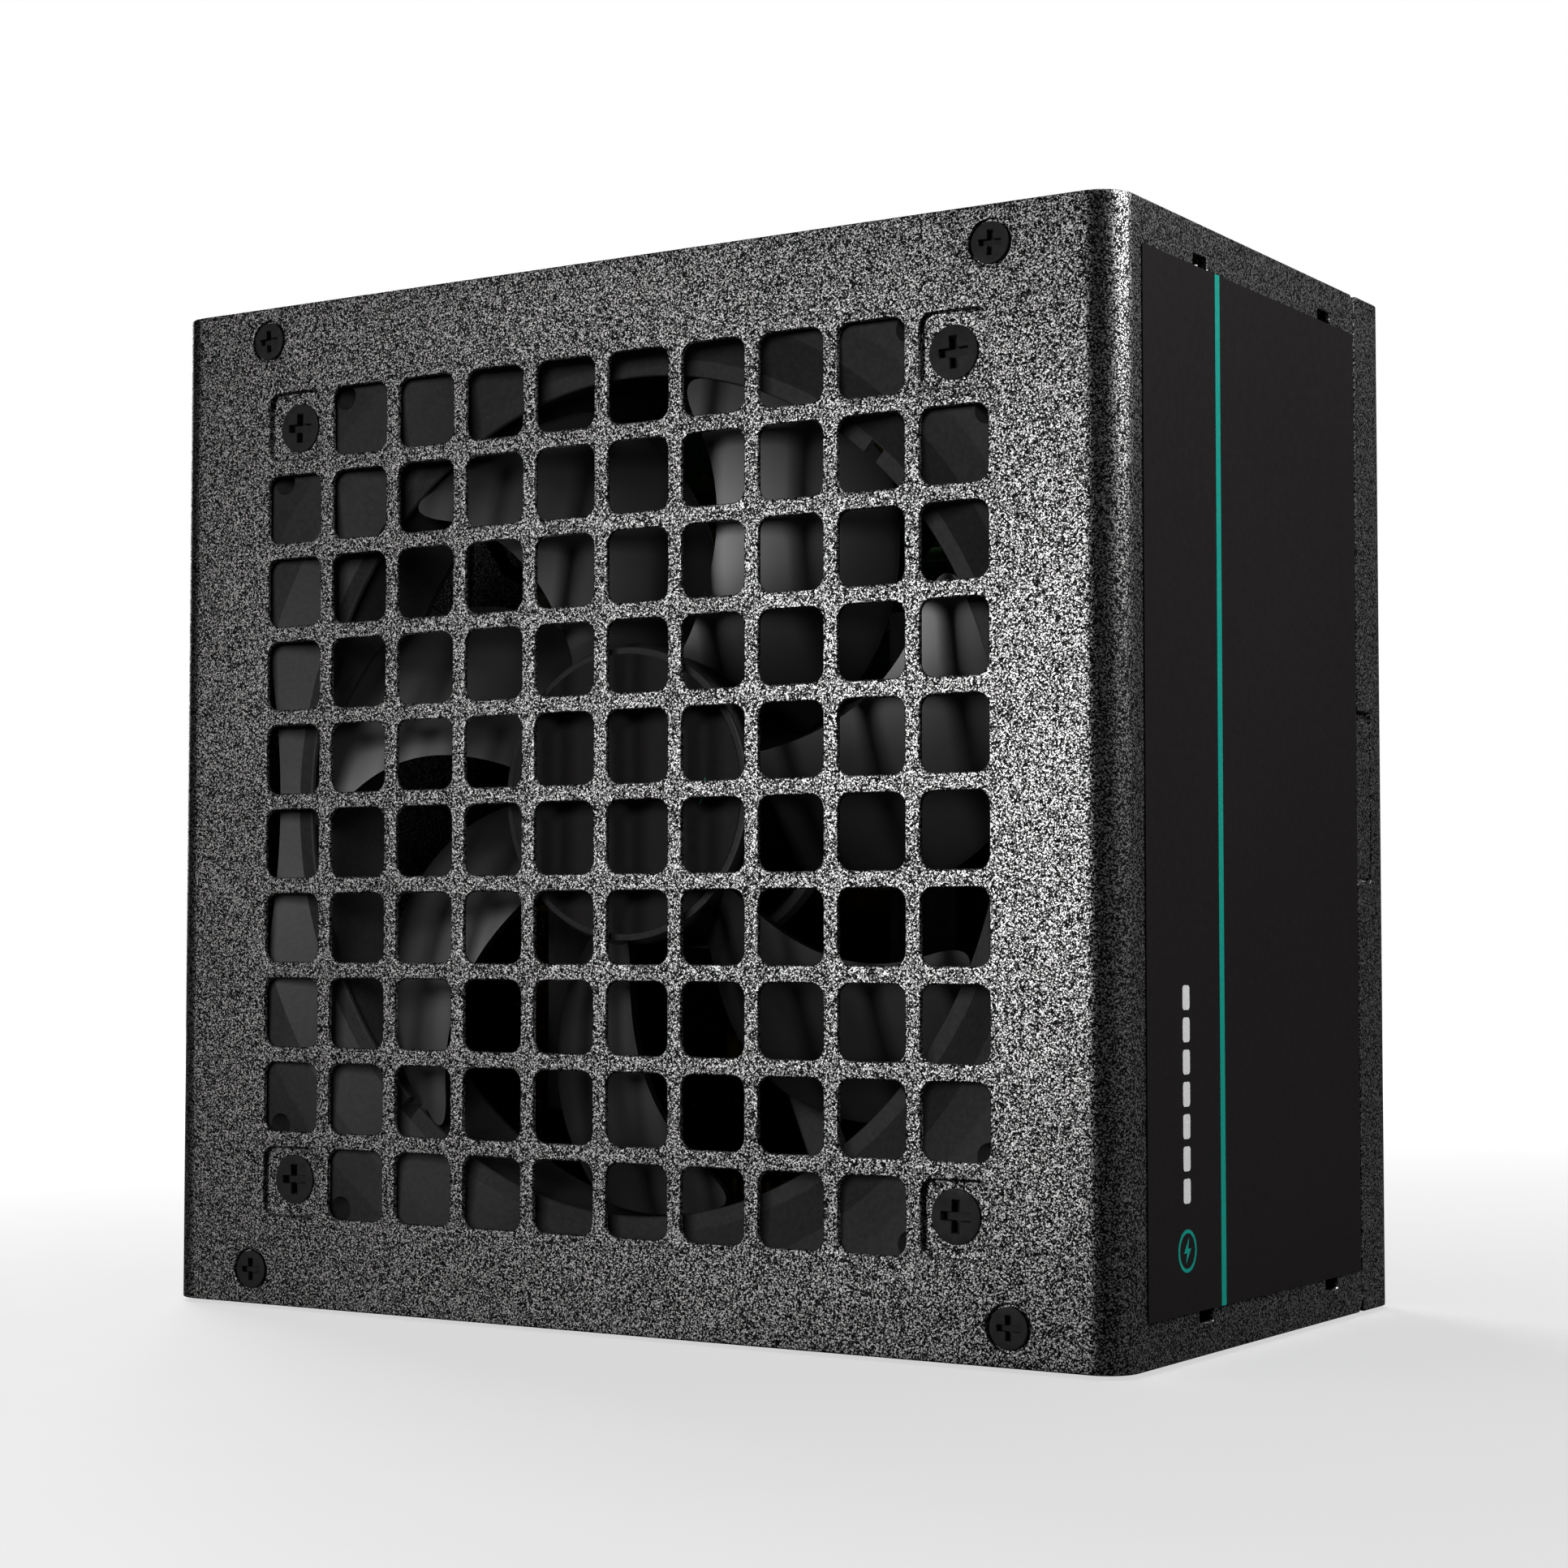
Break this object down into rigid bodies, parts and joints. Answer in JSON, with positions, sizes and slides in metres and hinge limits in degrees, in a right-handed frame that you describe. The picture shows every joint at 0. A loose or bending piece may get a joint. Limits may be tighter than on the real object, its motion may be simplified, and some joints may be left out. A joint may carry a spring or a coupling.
{
  "type": "computer power supply unit",
  "caption": "Desktop computer power supply in a black folded-steel case with a square-hole fan grille, spinning intake fan, mains inlet, rocker switch and modular cable sockets.",
  "frame": {"origin": "centre of the case's footprint on its socket panel", "axes": "+X across the width, towards the side with the visible label; -Y out of the fan face; +Z towards the mains panel"},
  "size_m": [0.1504, 0.0862, 0.1445],
  "materials": {
    "powder_coat": "coarse sand-texture black powder coat",
    "black_screw": "smooth black zinc",
    "dark_label": "satin near-black printed film",
    "pale_label": "satin printed film",
    "fan_plastic": "matt moulded",
    "blade_plastic": "satin moulded",
    "connector_black": "matt moulded",
    "rocker_plastic": "glossy moulded",
    "steel": "bright plated",
    "bronze": "plain",
    "copper": "enamelled",
    "magnet": "dull",
    "ferrite": "dull fired",
    "painted_core": "painted",
    "circuit_board": "solder resist",
    "wire_sleeve": "satin sleeve",
    "earth_sleeve": "green sleeve",
    "yellow_plastic": "moulded box and tape",
    "clear_film": "translucent film",
    "glazed_ceramic": "glazed",
    "package_epoxy": "moulded epoxy",
    "heatsink_alloy": "extruded",
    "capacitor_sleeve": "shrink sleeve",
    "pale_plastic": "moulded nylon"
  },
  "bodies": {
    "case": {"fan_cover": "powder_coat", "base_shell": "powder_coat", "cover_screws": "black_screw", "fan_screws": "black_screw", "right_side_label": "dark_label", "left_side_label": "dark_label", "back_label": "pale_label", "fan_frame": "fan_plastic", "fan_bearing": "bronze", "fan_stator_core": "steel", "fan_coils": "copper", "fan_circuit_board": "circuit_board", "fan_lead": "wire_sleeve", "inlet_housing": "connector_black", "inlet_pins": "steel", "inlet_screws": "black_screw", "inlet_board": "circuit_board", "inlet_capacitor": "yellow_plastic", "switch_housing": "connector_black", "switch_terminals": "bronze", "mains_wires": "wire_sleeve", "earth_wire": "earth_sleeve", "earth_screw": "steel", "insulation_sheet": "clear_film", "board_standoffs": "bronze", "board_screws": "steel", "main_board": "circuit_board", "line_fuse": "glazed_ceramic", "filter_capacitors": "yellow_plastic", "filter_choke_core": "ferrite", "filter_choke_windings": "copper", "inrush_relay": "connector_black", "bridge_rectifier": "package_epoxy", "pfc_choke_core": "painted_core", "pfc_choke_winding": "copper", "primary_heatsink": "heatsink_alloy", "power_transistors": "package_epoxy", "bulk_capacitor": "capacitor_sleeve", "transformer_core": "ferrite", "transformer_windings": "yellow_plastic", "standby_transformer": "yellow_plastic", "secondary_heatsink": "heatsink_alloy", "output_rectifiers": "package_epoxy", "output_choke_core": "painted_core", "output_choke_winding": "copper", "output_capacitors": "capacitor_sleeve", "controller_board": "circuit_board", "fan_header": "pale_plastic", "socket_board": "circuit_board", "motherboard_sockets": "connector_black", "graphics_sockets": "connector_black", "drive_sockets": "connector_black", "socket_pins": "bronze", "bus_bars": "copper"},
    "fan_rotor_body": {"fan_rotor": "blade_plastic", "fan_hub_label": "dark_label", "fan_magnet_ring": "magnet", "fan_shaft": "steel", "shaft_retainer": "steel"},
    "rocker_body": {"switch_rocker": "rocker_plastic"}
  },
  "joints": [
    {"name": "fan_spin", "type": "hinge", "parent": "case", "child": "fan_rotor_body", "pos_m": [0, -0.03, 0.07], "axis": [0, -1, 0], "continuous": true},
    {"name": "switch_rock", "type": "hinge", "parent": "case", "child": "rocker_body", "pos_m": [-0.002, 0.008, 0.1396], "axis": [1, 0, 0], "range_deg": [0, 22]}
  ]
}
